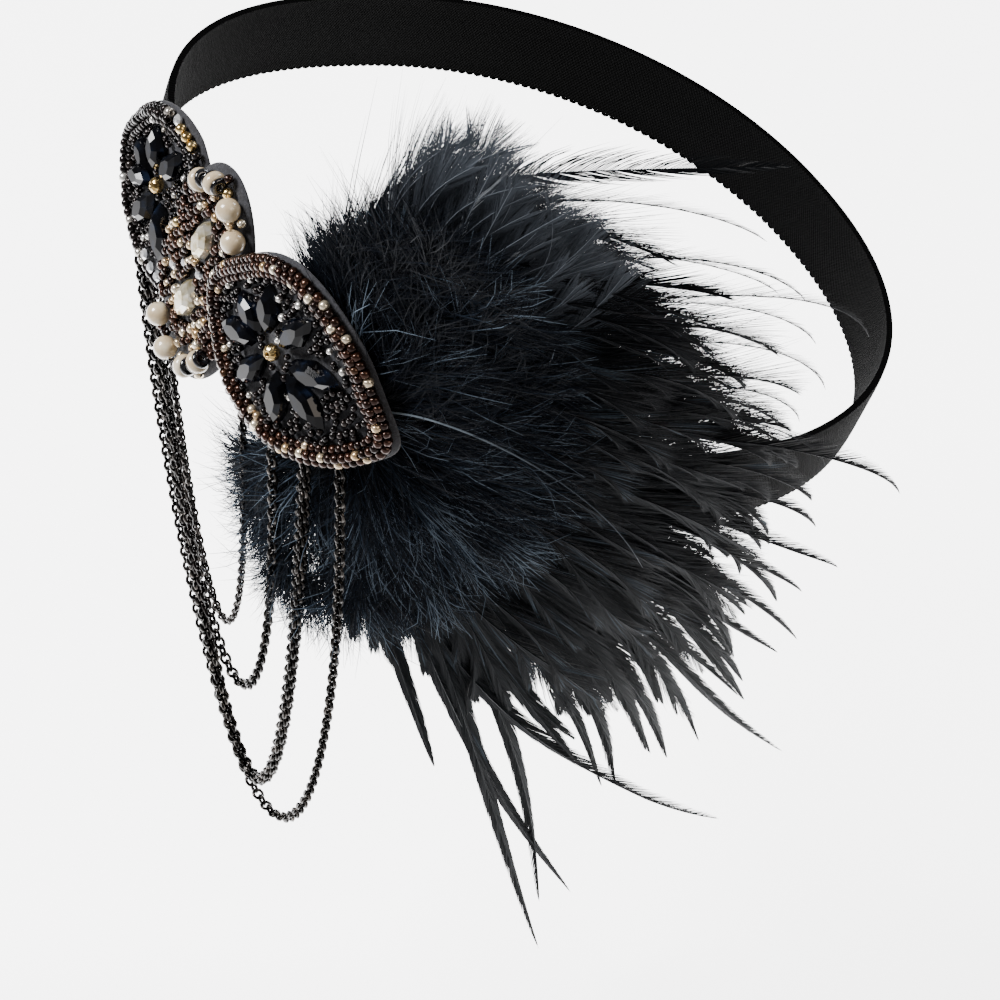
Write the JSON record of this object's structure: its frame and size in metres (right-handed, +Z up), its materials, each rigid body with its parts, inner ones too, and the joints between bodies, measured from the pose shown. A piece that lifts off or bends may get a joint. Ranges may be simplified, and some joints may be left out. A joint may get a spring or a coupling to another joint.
{
  "type": "feather headband",
  "caption": "Elastic headband with a beaded felt applique on the forehead, hanging chain swags and a fan of dark hackle and down feathers over one ear.",
  "frame": {"origin": "middle of the elastic loop, where the head sits", "axes": "+Z up as worn, the forehead and beadwork towards -Y, the feathers on +X (the wearer's left)"},
  "size_m": [0.1963, 0.1925, 0.258],
  "materials": {
    "elastic": "black woven elastic with a looped lower edge",
    "felt": "grey felt",
    "bronze_seed_beads": "bronze lined glass seed beads",
    "gunmetal_seed_beads": "gunmetal lined glass seed beads",
    "jet_stone": "black faceted glass",
    "gilt_bead": "polished gilt",
    "pearl": "cream imitation pearl",
    "striped_bead": "white bead with black spacer discs",
    "clear_stone": "pale faceted glass",
    "gunmetal_chain": "gunmetal plate",
    "hackle": "black dyed hackle feather",
    "down": "black dyed down"
  },
  "bodies": {
    "root": {"elastic_band": "elastic", "wing_left_backing": "felt", "wing_right_backing": "felt", "medallion_backing": "felt", "feather_pad": "felt", "wing_left_rim": "bronze_seed_beads", "wing_right_rim": "gunmetal_seed_beads", "petal_left_1": "jet_stone", "petal_left_2": "jet_stone", "petal_left_3": "jet_stone", "petal_left_4": "jet_stone", "petal_left_5": "jet_stone", "petal_left_6": "jet_stone", "petal_left_7": "jet_stone", "petal_left_8": "jet_stone", "petal_right_1": "jet_stone", "petal_right_2": "jet_stone", "petal_right_3": "jet_stone", "petal_right_4": "jet_stone", "petal_right_5": "jet_stone", "petal_right_6": "jet_stone", "flower_bead_left": "gilt_bead", "flower_bead_right": "gilt_bead", "pearl_1": "pearl", "pearl_2": "pearl", "pearl_3": "pearl", "pearl_4": "pearl", "striped_bead_1": "striped_bead", "striped_bead_2": "striped_bead", "striped_bead_3": "striped_bead", "striped_bead_4": "striped_bead", "crystal_upper": "clear_stone", "crystal_lower": "clear_stone", "chain_fine": "gunmetal_chain", "chain_short": "gunmetal_chain", "chain_rope": "gunmetal_chain", "chain_long": "gunmetal_chain", "hackle_plume": "hackle", "down_plume": "down"}
  },
  "joints": []
}
